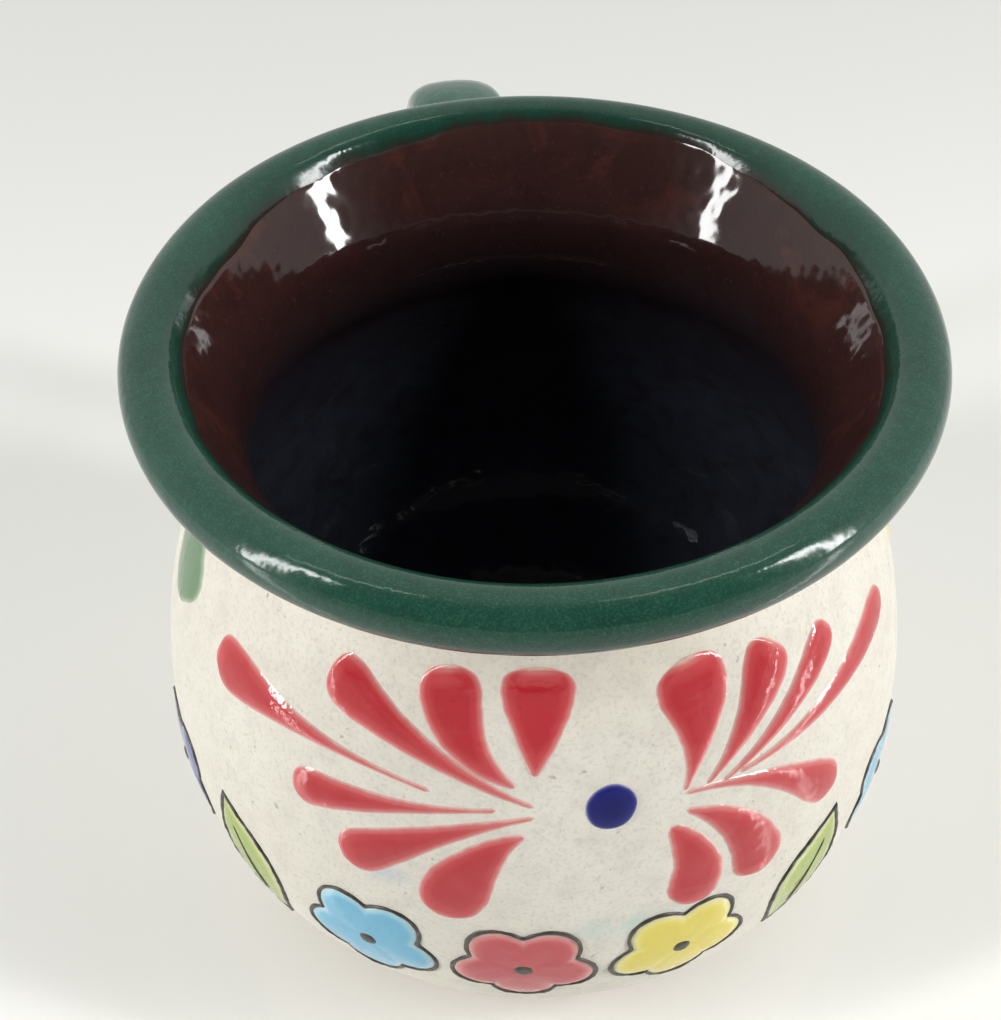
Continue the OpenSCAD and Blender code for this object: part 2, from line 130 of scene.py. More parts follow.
flare_down = np.array([-math.sin(math.radians(FLARE_A)), -math.cos(math.radians(FLARE_A))])
throat_0 = lip_c + (THROAT_R - lip_r) * flare_out
flare_fall = (-(throat_0 - up_c) @ flare_down
              - leg(BELLY_UP_R - WALL_T + THROAT_R, cross2(throat_0 - up_c, flare_down)))
throat_c = throat_0 + flare_fall * flare_down
floor_c = np.array([low_c[0] + leg(BELLY_LOW_R - WALL_T - FLOOR_FILLET_R,
                                   BELLY_Z - FLOOR_Z - FLOOR_FILLET_R),
                    FLOOR_Z + FLOOR_FILLET_R])
foot_join = heading(foot_c, low_c)
neck_join = heading(up_c, neck_c)
lip_join = heading(neck_c, lip_c)
throat_join = heading(throat_c, up_c) + 360
floor_join = heading(low_c, floor_c)

skin = np.vstack([
    [[foot_r, FOOT_BEVEL]],
    arc(foot_c, FOOT_FILLET_R, 180, foot_join),
    arc(low_c, BELLY_LOW_R, foot_join - 180, 0, 0.8),
    arc(up_c, BELLY_UP_R, 0, neck_join, 0.8),
    arc(neck_c, NECK_R, neck_join + 180, lip_join),
    arc(lip_c, lip_r, lip_join - 180, 180 - FLARE_A, 0.2),
    arc(throat_c, THROAT_R, 180 - FLARE_A, throat_join),
    arc(up_c, BELLY_UP_R - WALL_T, throat_join - 180, 0, 0.8),
    arc(low_c, BELLY_LOW_R - WALL_T, 0, floor_join, 0.8),
    arc(floor_c, FLOOR_FILLET_R, floor_join, -90),
    [[0.0, FLOOR_Z]]])
skin = skin[np.r_[True, np.linalg.norm(np.diff(skin, axis=0), axis=1) > 1e-6]]
run = np.r_[0, np.cumsum(np.linalg.norm(np.diff(skin, axis=0), axis=1))]
tangent = np.gradient(skin, run, axis=0)
tangent /= np.linalg.norm(tangent, axis=1)[:, None]
out_way = np.c_[tangent[:, 1], -tangent[:, 0]]
top_i = int(np.argmax(skin[:, 1]))
out_z, out_s = skin[:top_i + 1, 1], run[:top_i + 1]


def run_out(z):
    """Distance along the outline to height z on the outside."""
    return np.interp(z, out_z, out_s)


def run_in(z):
    """Distance along the outline to height z on the inside."""
    return np.interp(-np.asarray(z), -skin[top_i:, 1], run[top_i:])


def at_run(s, lift):
    """Point of the outline at s, lifted off it. Radius and height."""
    r = np.interp(s, run, skin[:, 0]) + lift * np.interp(s, run, out_way[:, 0])
    z = np.interp(s, run, skin[:, 1]) + lift * np.interp(s, run, out_way[:, 1])
    return r, z


def surface_r(z):
    """Radius of the outside at a height."""
    return at_run(run_out(z), 0.0)[0]


def wobble(turn, z):
    """Inward stray of the thrown wall: none at the foot, most at the lip."""
    t = np.radians(turn)
    w = (0.46 * np.sin(2 * t + 0.7) + 0.26 * np.sin(3 * t + 2.1 + z / 45)
         + 0.16 * np.sin(5 * t - 0.9 - z / 30) + 0.12 * np.sin(9 * t + z / 22))
    return (w - 1.0) * WOBBLE * np.clip((z - 4) / 70, 0, 1) ** 0.8


def turned(turn, r, z):
    """Point at a turn from the middle of the front, towards +X."""
    a = np.radians(turn)
    r = r + wobble(turn, z)
    return np.stack([r * np.sin(a), -r * np.cos(a), z + 0 * r], axis=-1)


def on_pot(turn, z, lift):
    """Point of the pot's outside, lifted off it."""
    r, zz = at_run(run_out(z), lift)
    return turned(turn, r, zz)


def brushy(t, seed, rough=1.0):
    """Smooth unevenness between about -1 and 1, the same on every run."""
    return (0.5 * np.sin(t + seed * 2.3) + 0.3 * np.sin(2.3 * t + seed * 4.1)
            + 0.2 * rough * np.sin(5.1 * t + seed * 7.7))


# ---------------------------------------------------------------- meshes
def add_mesh(name, points, faces, sharp=50.0, merge=0.0, **values):
    """A closed mesh from points in millimetres, with a number per point for each value."""
    mesh = bpy.data.meshes.new(name)
    places = (np.asarray(points, float) * MM).tolist()
    mesh.from_pydata(places, [], [list(map(int, f)) for f in faces])
    for key, data in values.items():
        layer = mesh.attributes.new(key, "FLOAT", "POINT")
        layer.data.foreach_set("value", np.asarray(data, np.float32).ravel())
    work = bmesh.new()
    work.from_mesh(mesh)
    if merge:
        bmesh.ops.remove_doubles(work, verts=work.verts, dist=merge * MM)
    bmesh.ops.recalc_face_normals(work, faces=work.faces)
    work.to_mesh(mesh)
    work.free()
    mesh.shade_smooth()
    mesh.set_sharp_from_angle(angle=math.radians(sharp))
    piece = bpy.data.objects.new(name, mesh)
    bpy.context.scene.collection.objects.link(piece)
    return piece


def tube_faces(rings, sides, base=0, closed=False):
    """Faces of rings of points, each joined to the next."""
    last = rings if closed else rings - 1
    faces = []
    for k in range(last):
        here, there = base + k * sides, base + (k + 1) % rings * sides
        faces += [(here + i, here + (i + 1) % sides, there + (i + 1) % sides, there + i)
                  for i in range(sides)]
    return faces


def end_faces(rings, sides, base=0):
    """The first and the last ring, each closed by one face."""
    last = base + (rings - 1) * sides
    return [tuple(range(base, base + sides)), tuple(range(last, last + sides))]


def grid_along(start, end, knots):
    """Sample places from start to end, closer together near both ends."""
    u = (1 - np.cos(np.linspace(0, math.pi, knots))) / 2
    u = 0.35 * u + 0.65 * np.linspace(0, 1, knots)
    return start + (end - start) * u


def coat(name, start, end, face, back, knots, edge, fade, turns=288):
    """A turned coat from start to end along the outline, round-edged, as a closed skin.

    edge is how far it takes to reach its full thickness, and fade the same for its end.
    One that runs on to the middle of the floor has no rim there, and stays full.
    """
    points, from_start, to_end = [], [], []
    for j in range(turns):
        turn = 360.0 * j / turns
        s0, s1 = start(turn), end(turn)
        s = grid_along(s0, s1, knots)
        d0, d1 = s - s0, s1 - s
        full0 = np.clip(d0 / edge, 0, 1)
        full1 = np.clip(d1 / fade, 0, 1) if s1 < run[-1] - 0.5 else 1.0
        lift = back + (face - back) * np.sqrt(1 - (1 - full0) ** 2) * np.sqrt(1 - (1 - full1) ** 2)
        r, z = at_run(s, lift)
        rb, zb = at_run(s[::-1], back - 0.01)
        points += [turned(turn, np.maximum(r, 0), z), turned(turn, np.maximum(rb, 0), zb)]
        from_start += [d0, d0[::-1]]
        to_end += [d1, d1[::-1]]
    return add_mesh(name, np.concatenate(points), tube_faces(turns, 2 * knots, closed=True),
                    merge=MERGE, from_start=np.concatenate(from_start),
                    to_end=np.concatenate(to_end))


def glaze_lower(turn):
    """Where the lip glaze ends under the lip, as a distance along the outline."""
    t = math.radians(turn)
    drift = (0.42 * math.sin(2 * t + 0.4) + 0.3 * math.sin(5 * t + 2.0) + 0.2 * math.sin(11 * t)
             + 0.13 * math.sin(23 * t + 1.0))
    height = lip_c[1] - lip_r * math.sin(math.radians(LIP_GLAZE_A))
    return float(run_out(height)) + 0.42 * drift


def glaze_inner(turn):
    """Where it ends inside, drawn further up near the handle and down at the left."""
    t = math.radians(turn)
    drift = (0.5 * math.sin(t + 1.1) + 0.42 * math.sin(4 * t + 0.3) + 0.33 * math.sin(9 * t + 2.2)
             + 0.22 * math.sin(17 * t + 0.7) + 0.16 * math.sin(31 * t))
    far = ((turn - 160 + 180) % 360 - 180) / 45
    height = MUG_H - LIP_GLAZE_H - 0.3 + 1.5 * math.exp(-far * far)
    side = ((turn + 118 + 180) % 360 - 180) / 16
    return float(run_in(height - 0.8 * math.exp(-side * side))) + 0.55 * drift


def pot_clay():
    """The clay under the coats, with the turned foot ring."""
    hollow = foot_r - FOOT_RING_W
    under = np.array([[0, FOOT_HOLLOW_H], [hollow - FOOT_HOLLOW_H - 0.6, FOOT_HOLLOW_H],
                      [hollow - FOOT_HOLLOW_H, FOOT_HOLLOW_H - 0.15], [hollow, FOOT_BEVEL],
                      [hollow + 0.3, 0.25], [hollow + FOOT_BEVEL, 0.0],
                      [foot_r - COAT_T - FOOT_BEVEL, 0.0], [foot_r - COAT_T - 0.25, 0.22],
                      [foot_r - COAT_T, FOOT_BEVEL]])
    r, z = at_run(run[run > 0.4], -COAT_T)
    r[-1] = 0.0
    r, z = np.r_[under[:, 0], r], np.r_[under[:, 1], z]
    turns = 240
    points = np.concatenate([turned(360.0 * j / turns, r, z) for j in range(turns)])
    return add_mesh("pot_clay", points, tube_faces(turns, len(r), closed=True), merge=MERGE)


# Brush strokes
def stroke_frame(s, t):
    """Points and headings along a stroke's middle, and its reach from tail to head."""
    tail, mid, head = (np.array(p) * (FLOWER_W, FLOWER_H) for p in s[:3])
    bend = 2 * mid - (tail + head) / 2
    t = t[:, None]
    at = (1 - t) ** 2 * tail + 2 * t * (1 - t) * bend + t * t * head
    way = (1 - t) * (bend - tail) + t * (head - bend)
    return at, way / np.linalg.norm(way, axis=1)[:, None], np.linalg.norm(head - tail)


def stroke_half_w(s, t, reach):
    """Half the width along a stroke: a narrow tail that swells to a round head."""
    w, taper = s[3] * FLOWER_W, s[4]
    p = 4 * reach / w
    peak_t = (2 * taper / (p + 2 * taper)) ** (1 / p)
    peak = peak_t ** taper * math.sqrt(1 - peak_t ** p)
    grow = STROKE_END_W / 2 + (w - STROKE_END_W) / 2 * t ** taper / peak
    return np.sqrt(np.clip(1 - t ** p, 0, 1)) * grow


def stroke(s, seed, height, rings=64, across=19):
    """One domed stroke of enamel, thin at its tail and pooled in its head.

    Its rings of points, and for each point how far in it lies and how thick the enamel is.
    """
    t = np.sin(np.linspace(0, math.pi / 2, rings))
    t[-1] = 0.9996      # a little short of the head's end, where the width is nothing
    at, way, reach = stroke_frame(s, t)
    half = stroke_half_w(s, t, reach)
    tip = np.clip(t / 0.03, 0, 1)
    half = half * np.sqrt(1 - (1 - tip) ** 2 * 0.98)
    v = np.sin(np.linspace(-math.pi / 2, math.pi / 2, across))
    edge_l = 1 + 0.045 * brushy(9 * t, seed)
    edge_r = 1 + 0.045 * brushy(8 * t, seed + 3.3)
    side = np.where(v < 0, edge_l[:, None], edge_r[:, None]) * half[:, None] * v
    x = at[:, 0:1] - way[:, 1:2] * side
    y = at[:, 1:2] + way[:, 0:1] * side
    fill = np.clip(half / 2.0, 0, 1)[:, None]
    dome = np.clip(1 - np.abs(v) ** 2.4, 0, 1)[None, :] ** 0.9
    ridge = 1 + 0.10 * np.sin(3.1 * v[None, :] + seed) + 0.06 * brushy(14 * t, seed)[:, None]
    narrow = np.clip(half[:, None] / 0.35, 0.15, 1)
    lift = STROKE_BASE + (height * (0.30 + 0.70 * fill) * dome * ridge) * narrow
    z = FLOWER_Z + y
    mid_x, mid_r = at[:, 0:1], surface_r(FLOWER_Z + at[:, 1:2])
    turn = FLOWER_A + np.degrees(mid_x / belly_r) + np.degrees((x - mid_x) / mid_r)
    top = on_pot(turn, z, lift)
    under = [-1, across // 2, 0]
    low = on_pot(turn[:, under], z[:, under], PAINT_BACK)
    loop = np.concatenate([top, low], axis=1)
    inset = np.minimum(half[:, None] * (1 - np.abs(v)), (1.0 - t[:, None]) * reach + 0.02)
    inset = np.concatenate([inset, np.zeros((rings, 3))], axis=1)
    # The last millimetres of the head hold less enamel
    spent = np.clip((t[:, None] * reach - (reach - 3.2)) / 2.6, 0, 1) ** 1.4
    body = np.repeat(fill * (1 - 0.85 * spent), across + 3, axis=1)
    return loop, inset, body


def stroke_set(name, strokes, seed, height):
    points, faces, inset, body, base = [], [], [], [], 0
    for k, s in enumerate(strokes):
        loop, far_in, thick = stroke(s, seed + 1.37 * k, height)
        rings, sides = loop.shape[:2]
        faces += tube_faces(rings, sides, base) + end_faces(rings, sides, base)
        points.append(loop.reshape(-1, 3))
        inset.append(far_in.ravel())
        body.append(thick.ravel())
        base += rings * sides
    return add_mesh(name, np.concatenate(points), faces, sharp=60, inset=np.concatenate(inset),
                    body=np.concatenate(body))


# Filled marks and their outlines, in the upright plane that faces each turn
def plane_to_pot(mid_turn, x, y, lift):
    z = BORDER_Z + y
    return on_pot(mid_turn + np.degrees(np.arcsin(np.clip(x / surface_r(z), -1, 1))), z, lift)


def lean_over(x, y, lean):
    c, s = math.cos(math.radians(lean)), math.sin(math.radians(lean))
    return c * x - s * y, s * x + c * y


def leaf_rim(n, lean, grow):
    """Leaf outline as points, from tip to tip and back."""
    t = np.arange(n // 2) / (n // 2)
    half_l, half_w = LEAF_L / 2 + 1.6 * grow, LEAF_W / 2 + grow
    x = np.r_[half_w * np.sin(math.pi * t), -half_w * np.sin(math.pi * t)]
    y = np.r_[half_l * (2 * t - 1), half_l * (1 - 2 * t)]
    return np.column_stack(lean_over(x, y, lean))


def blossom_rim(n, grow):
    """Outline of a blossom of five petals as points."""
    a = 2 * math.pi * np.arange(n) / n
    wave = 1 - 0.26 * (1 - np.abs(np.cos(2.5 * (a + math.pi / 2))))
    return (BLOSSOM_D / 2 * wave + grow)[:, None] * np.c_[np.cos(a), np.sin(a)]


def turn_of(k):
    return BORDER_START_A + k * BORDER_PITCH_A


def fill_mark(rim, mid_turn, seed, height, rings=16):
    """A domed fill inside a rim of points."""
    n = len(rim)
    u = np.sin(np.linspace(0.02, 1, rings) * math.pi / 2)
    shape = u[:, None, None] * rim[None]
    dome = np.clip(1 - u ** 7, 0, 1) ** 0.6
    ang = np.arctan2(rim[:, 1], rim[:, 0])
    uneven = (1 + 0.16 * np.sin(3 * ang + seed)[None] * u[:, None]
              + 0.10 * np.sin(7 * ang + 2 * seed)[None] * u[:, None])
    lift = PAINT_BASE + height * dome[:, None] * uneven
    top = plane_to_pot(mid_turn, shape[..., 0], shape[..., 1], lift)
    low = plane_to_pot(mid_turn, rim[:, 0], rim[:, 1], PAINT_BACK)
    points = np.concatenate([top.reshape(-1, 3), low])
    faces = tube_faces(rings + 1, n) + end_faces(rings + 1, n)
    width = np.linalg.norm(rim, axis=1)
    inset = np.concatenate([((1 - u)[:, None] * width[None]).ravel(), np.zeros(n)])
    return points, faces, inset


def line_mark(inner, outer, k, height, across=9):
    """A brushed line between two rims of points, uneven in width, at place k."""
    n, sides, seed = len(inner), across + 2, k + 0.5
    a = np.arange(n) / n * 2 * math.pi
    mid = (inner + outer) / 2
    half = (outer - inner) / 2 * (1.02 + 0.34 * brushy(5 * a, seed, 1.6))[:, None]
    v = np.sin(np.linspace(-math.pi / 2, math.pi / 2, across))
    pts = mid[:, None] + half[:, None] * v[None, :, None]
    dome = np.clip(1 - v ** 2, 0, 1)[None] ** 0.6
    lift = PAINT_BASE + height * dome * (1 + 0.25 * brushy(9 * a, seed + 2))[:, None]
    top = plane_to_pot(turn_of(k), pts[..., 0], pts[..., 1], lift)
    low = plane_to_pot(turn_of(k), pts[:, [-1, 0], 0], pts[:, [-1, 0], 1], PAINT_BACK)
    loop = np.concatenate([top, low], axis=1)
    return loop.reshape(-1, 3), tube_faces(n, sides, closed=True), np.ones(n * sides)


def bar_mark(length, width, lean, mid_turn, height, rings=28, across=9):
    """A short brushed bar with round ends."""
    sides = across + 2
    t = np.sin(np.linspace(-math.pi / 2, math.pi / 2, rings))
    half = width / 2 * np.sqrt(np.clip(1 - np.abs(t) ** 6, 0.002, 1))
    half = half * (1 + 0.15 * np.sin(4 * t + lean))
    v = np.sin(np.linspace(-math.pi / 2, math.pi / 2, across))
    along = np.repeat((t * length / 2)[:, None], across, axis=1)
    x, y = lean_over(half[:, None] * v, along, lean)
    dome = np.clip(1 - v ** 2, 0, 1)[None] ** 0.5
    lift = height * dome * np.clip(half / width * 2, 0, 1)[:, None]
    top = plane_to_pot(mid_turn, x, y, lift)
    low = plane_to_pot(mid_turn, x[:, [-1, 0]], y[:, [-1, 0]], RIB_BACK)
    loop = np.concatenate([top, low], axis=1)
    faces = tube_faces(rings, sides) + end_faces(rings, sides)
    return loop.reshape(-1, 3), faces, np.ones(rings * sides)


def joined(name, marks):
    """One mesh of marks, each its points, its faces and how far in its points lie."""
    points, faces, inset, base = [], [], [], 0
    for places, mark_faces, far_in in marks:
        points.append(places)
        faces += [tuple(base + i for i in face) for face in mark_faces]
        inset.append(far_in)
        base += len(places)
    inset = np.concatenate(inset)
    return add_mesh(name, np.concatenate(points), faces, sharp=60, inset=inset,
                    body=np.full(len(inset), 0.8))


def border_fill(name, colour, n=120):
    marks = [fill_mark(blossom_rim(n, FILL_GROW), turn_of(k), k, BLOSSOM_H)
             for c, k in BLOSSOMS if c == colour]
    marks += [fill_mark(leaf_rim(n, lean, FILL_GROW), turn_of(k), k, LEAF_H)
              for c, k, lean in LEAVES if c == colour]
    return joined(name, marks)


def disc_mark(radius, mid_turn, z_mid, height, seed, rings=12, n=72):
    """A domed round dot, not quite round."""
    a = 2 * math.pi * np.arange(n) / n
    uneven = (1 + 0.015 * np.sin(2 * a + seed) + 0.008 * np.sin(5 * a + seed))[:, None]
    rim = radius * uneven * np.c_[np.cos(a), np.sin(a)]
    u = np.sin(np.linspace(0.03, 1, rings) * math.pi / 2)
    pts = u[:, None, None] * rim[None]
    dome = np.repeat((np.clip(1 - u ** 3, 0, 1) ** 0.6)[:, None], n, axis=1)

    def place(x, y, up):
        z = z_mid + y
        return on_pot(mid_turn + np.degrees(x / surface_r(z)), z, up)
    top = place(pts[..., 0], pts[..., 1], PAINT_BASE + height * dome)
    low = place(rim[:, 0], rim[:, 1], PAINT_BACK)
    faces = tube_faces(rings + 1, n) + end_faces(rings + 1, n)
    inset = np.concatenate([np.repeat(radius * (1 - u)[:, None], n, axis=1).ravel(), np.zeros(n)])
    return np.concatenate([top.reshape(-1, 3), low]), faces, inset


# ---------------------------------------------------------------- the handle
top_z, low_z, sink = MUG_H - HANDLE_TOP_DROP, BELLY_Z - HANDLE_LOW_DROP, WALL_T + COAT_T
ctrl = np.array([[surface_r(top_z) - sink, top_z - sink / 2],
                 [belly_r + HANDLE_UPPER_REACH, top_z + HANDLE_RISE],
                 [belly_r + HANDLE_LOWER_REACH, low_z + HANDLE_SWEEP],
                 [surface_r(low_z) - sink, low_z]])


def handle_point(t, a, grow):
    """Point of the handle's skin: t along it, a round its section, grown outwards."""
    t = np.asarray(t, float)[..., None]
    at = ((1 - t) ** 3 * ctrl[0] + 3 * t * (1 - t) ** 2 * ctrl[1]
          + 3 * t * t * (1 - t) * ctrl[2] + t ** 3 * ctrl[3])
    way = ((1 - t) ** 2 * (ctrl[1] - ctrl[0]) + 2 * t * (1 - t) * (ctrl[2] - ctrl[1])
           + t * t * (ctrl[3] - ctrl[2]))
    way /= np.linalg.norm(way, axis=-1)[..., None]
    t = t[..., 0]
    swell = 1 + HANDLE_ROOT_SHARE * np.abs(2 * t - 1) ** 4
    ca, sa = np.cos(a), np.sin(a)
    x = (HANDLE_W / 2 * swell + grow) * np.sign(ca) * np.abs(ca) ** (2 / HANDLE_SQUARE)
    y = (HANDLE_T / 2 * swell + grow) * np.sign(sa) * np.abs(sa) ** (2 / HANDLE_SQUARE)
    return np.stack([x, at[..., 0] - way[..., 1] * y, at[..., 1] + way[..., 0] * y], axis=-1)


def handle_depth(p):
    """How far a point is outside the pot's outer face."""
    return np.hypot(p[..., 0], p[..., 1]) - surface_r(np.clip(p[..., 2], 8, 84))


def handle_piece():
    """The pulled handle from inside the wall to inside the wall, flared at its roots."""
    sides, rings, depth, skin_off = 56, 110, -1.0, -0.08      # depth: where its ends lie
    a = 2 * math.pi * (np.arange(sides) + 0.5) / sides
    t = np.linspace(0, 1, 700)
    starts, ends = [], []
    for k in a:
        d = handle_depth(handle_point(t, np.full_like(t, k), skin_off))
        mid = len(t) // 2
        starts.append(t[np.where(d[:mid] < depth)[0].max()])
        ends.append(t[mid + np.where(d[mid:] < depth)[0].min()])
    u = np.linspace(0, 1, rings)
    u = u - 0.09 * np.sin(2 * math.pi * u)
    grid = np.array(starts)[None] + u[:, None] * (np.array(ends) - np.array(starts))[None]
    ang = np.repeat(a[None], rings, axis=0)
    away = np.clip(handle_depth(handle_point(grid, ang, skin_off)), 0, None)
    flare = 1.5 * np.exp(-away / 1.7)
    pulled = (0.13 * np.sin(3 * ang + 1.0) * np.sin(math.pi * u)[:, None]
              + 0.10 * np.sin(9 * grid + 0.5) * np.sin(ang))
    points = handle_point(grid, ang, -0.34 + flare + np.minimum(pulled, 0.24)).reshape(-1, 3)
    points[:, 1] += wobble(180.0, points[:, 2]) * np.exp(-away.ravel() / 12)
    faces = tube_faces(rings, sides) + end_faces(rings, sides)
    return add_mesh("handle_pulled", points, faces, sharp=60)


# ---------------------------------------------------------------- materials
class Nodes:
    """Short names for the nodes of one material. A noise's scale is in cells per metre."""

    def __init__(self, name):
        self.mat = bpy.data.materials.new(name)
        self.mat.use_nodes = True
        self.tree = self.mat.node_tree
        self.shader = next(n for n in self.tree.nodes if n.type == "BSDF_PRINCIPLED")
        self.place = self.tree.nodes.new("ShaderNodeTexCoord").outputs["Object"]

    def put(self, socket, value):
        """Links a socket to another one, or sets it to a number, a vector or a colour."""
        if isinstance(value, bpy.types.NodeSocket):
            self.tree.links.new(value, socket)
        elif socket.type == "RGBA":
            socket.default_value = (*value, 1)
        else:
            socket.default_value = value

    def new(self, kind, **inputs):
        node = self.tree.nodes.new(kind)
        for key, value in inputs.items():
            self.put(node.inputs[key], value)
        return node

    def noise(self, scale, detail, rough, distortion=0.0):
        node = self.new("ShaderNodeTexNoise", Vector=self.place, Scale=scale, Detail=detail,
                        Roughness=rough, Distortion=distortion)
        return node.outputs["Fac"]

    def ramp(self, fac, stops, smooth=False):
        node = self.new("ShaderNodeValToRGB", Fac=fac)
        node.color_ramp.interpolation = "EASE" if smooth else "LINEAR"
        while len(node.color_ramp.elements) < len(stops):
            node.color_ramp.elements.new(0.5)
        for element, (position, colour) in zip(node.color_ramp.elements, stops):
            element.position = position
            element.color = (*colour, 1)
        return node.outputs["Color"]

    def grey(self, fac, stops, smooth=False):
        return self.ramp(fac, [(p, (v, v, v)) for p, v in stops], smooth)

    def mix(self, fac, a, b):
        node = self.tree.nodes.new("ShaderNodeMix")
        node.data_type = "RGBA"
        for k, value in ((0, fac), (6, a), (7, b)):
            self.put(node.inputs[k], value)
        return node.outputs[2]

    def stain(self, base, mask, stops, colour, smooth=False):
        """The base colour, with another one over it as far as the mask's ramp says."""
        return self.mix(self.grey(mask, stops, smooth), base, colour)

    def math(self, kind, a, b, clamp=False):
        node = self.tree.nodes.new("ShaderNodeMath")
        node.operation = kind
        node.use_clamp = clamp
        self.put(node.inputs[0], a)
        self.put(node.inputs[1], b)
        return node.outputs[0]

    def stray(self, noise, size):
        """A noise as a number from about -size / 2 to size / 2."""
        return self.math("MULTIPLY", self.math("SUBTRACT", noise, 0.5), size)

    def value(self, name):
        node = self.tree.nodes.new("ShaderNodeAttribute")
        node.attribute_name = name
        return node.outputs["Fac"]

    def vector(self, kind, a, *b):
        node = self.tree.nodes.new("ShaderNodeVectorMath")
        node.operation = kind
        for socket, value in zip(node.inputs, (a, *b)):
            self.put(socket, value)
        return node.outputs["Value" if kind == "LENGTH" else "Vector"]

    def spot(self, turn, z, radius, stretch):
        """1 at a place on the pot's outside, fading to 0 at a radius in metres."""
        centre = tuple(on_pot(np.array([turn]), np.array([z]), 0.0)[0] * MM)
        away = self.vector("MULTIPLY", self.vector("SUBTRACT", self.place, centre), stretch)
        near = self.math("DIVIDE", self.vector("LENGTH", away), radius)
        return self.math("SUBTRACT", 1.0, near, clamp=True)

    def height_z(self):
        return self.new("ShaderNodeSeparateXYZ", Vector=self.place).outputs["Z"]

    def bump(self, height, depth_mm, before=None):
        node = self.new("ShaderNodeBump", Strength=1.0, Distance=depth_mm * MM, Height=height)
        if before is not None:
            self.put(node.inputs["Normal"], before)
        return node.outputs["Normal"]

    def finish(self, colour, rough, normal=None, specular=0.5):
        settings = {"Base Color": colour, "Roughness": rough, "Specular IOR Level": specular}
        if normal is not None:
            settings["Normal"] = normal
        for key, value in settings.items():
            self.put(self.shader.inputs[key], value)
        return self.mat


def slip_material():
    """Cream slip: cloudy, blotched and speckled, thin in places, with two smears of paint."""
    n = Nodes("cream_slip")
    base = n.ramp(n.noise(34, 4, 0.55), [(0.30, (0.735, 0.695, 0.600)),
                                         (0.52, (0.785, 0.752, 0.662)),
                                         (0.75, (0.825, 0.798, 0.715))])
    base = n.stain(base, n.noise(310, 4, 0.65), [(0.45, 0), (0.72, 0.42)], (0.60, 0.56, 0.50))
    base = n.stain(base, n.noise(2100, 2, 0.6), [(0.50, 0), (0.74, 0.40)], (0.46, 0.43, 0.37))
    base = n.stain(base, n.noise(760, 2, 0.5), [(0.71, 0), (0.76, 0.55)], (0.30, 0.26, 0.23))
    thin = n.noise(70, 5, 0.65, distortion=0.6)
    base = n.stain(base, thin, [(0.56, 0), (0.78, 0.30)], (0.60, 0.50, 0.42))
    broken = n.grey(n.noise(260, 4, 0.6), [(0.38, 0), (0.62, 0.55)])
    smear = n.math("MULTIPLY", n.spot(3.0, 41.5, 0.0075, (0.8, 1, 2.6)), broken)
    base = n.mix(smear, base, (0.36, 0.66, 0.60))
    smear = n.math("MULTIPLY", n.spot(-31.0, 48.0, 0.004, (1, 1, 1.8)), 0.35)
    base = n.mix(smear, base, (0.30, 0.42, 0.70))
    rough = n.grey(n.noise(420, 3, 0.5), [(0.3, 0.42), (0.7, 0.60)])
    normal = n.bump(n.noise(900, 3, 0.6), 0.035)
    normal = n.bump(n.noise(110, 3, 0.5), 0.16, normal)
    return n.finish(base, rough, normal)


def green_material(name, shades, edges=False):
    """Green glaze, finely grained. With edges, it thins at the lip glaze's two rims and has
    painted shade and a painted reflection there.
    """
    n = Nodes(name)
    dark, mid, pale = shades
    base = n.ramp(n.noise(60, 4, 0.6), [(0.30, dark), (0.62, mid)])
    base = n.stain(base, n.noise(4200, 2, 0.6), [(0.47, 0), (0.72, 0.60)], pale)
    base = n.stain(base, n.noise(900, 3, 0.6), [(0.40, 0.35), (0.65, 0)], (0.010, 0.045, 0.030))
    if edges:
        base = lip_edges(n, base)
    rough = n.grey(n.noise(300, 3, 0.5), [(0.3, 0.09), (0.7, 0.17)])
    normal = n.bump(n.noise(1900, 2, 0.5), 0.007)
    normal = n.bump(n.noise(520, 2, 0.5), 0.018, normal)
    normal = n.bump(n.noise(170, 3, 0.55, distortion=0.3), 0.13, normal)
    return n.finish(base, rough, normal, specular=0.42)


def lip_edges(n, base):
    """Outside, a pale edge where the glaze thins, partly a painted reflection, and a brown line,
    with painted shade over them under the lip's roll. Inside, a band of painted shade, then brown.
    """
    low = n.value("from_start")
    # Pale towards the lower edge: thin glaze, and partly a painted reflection
    ragged = n.math("ADD", low, n.stray(n.noise(300, 3, 0.6), 0.8))
    base = n.stain(base, ragged, [(0.15, 0.30), (0.80, 0)], (0.150, 0.190, 0.155), smooth=True)
    # Darker over the underside of the lip's roll: painted shade
    base = n.stain(base, n.math("MULTIPLY", low, 0.2), [(0.15, 0.6), (0.90, 0)],
                   (0.006, 0.026, 0.017), smooth=True)
    base = n.stain(base, low, [(0.10, 0.9), (0.40, 0)], (0.085, 0.050, 0.040), smooth=True)
    # A dark green band where the lip turns inwards: painted shade
    inner = n.math("ADD", n.value("to_end"), n.math("MULTIPLY", n.noise(210, 4, 0.65), 2.6))
    base = n.stain(base, n.math("MULTIPLY", inner, 0.11), [(0.14, 0.85), (0.78, 0)],
                   (0.007, 0.032, 0.022), smooth=True)
    return n.stain(base, n.math("MULTIPLY", inner, 0.2), [(0.28, 0.95), (0.66, 0)],
                   (0.034, 0.016, 0.013), smooth=True)


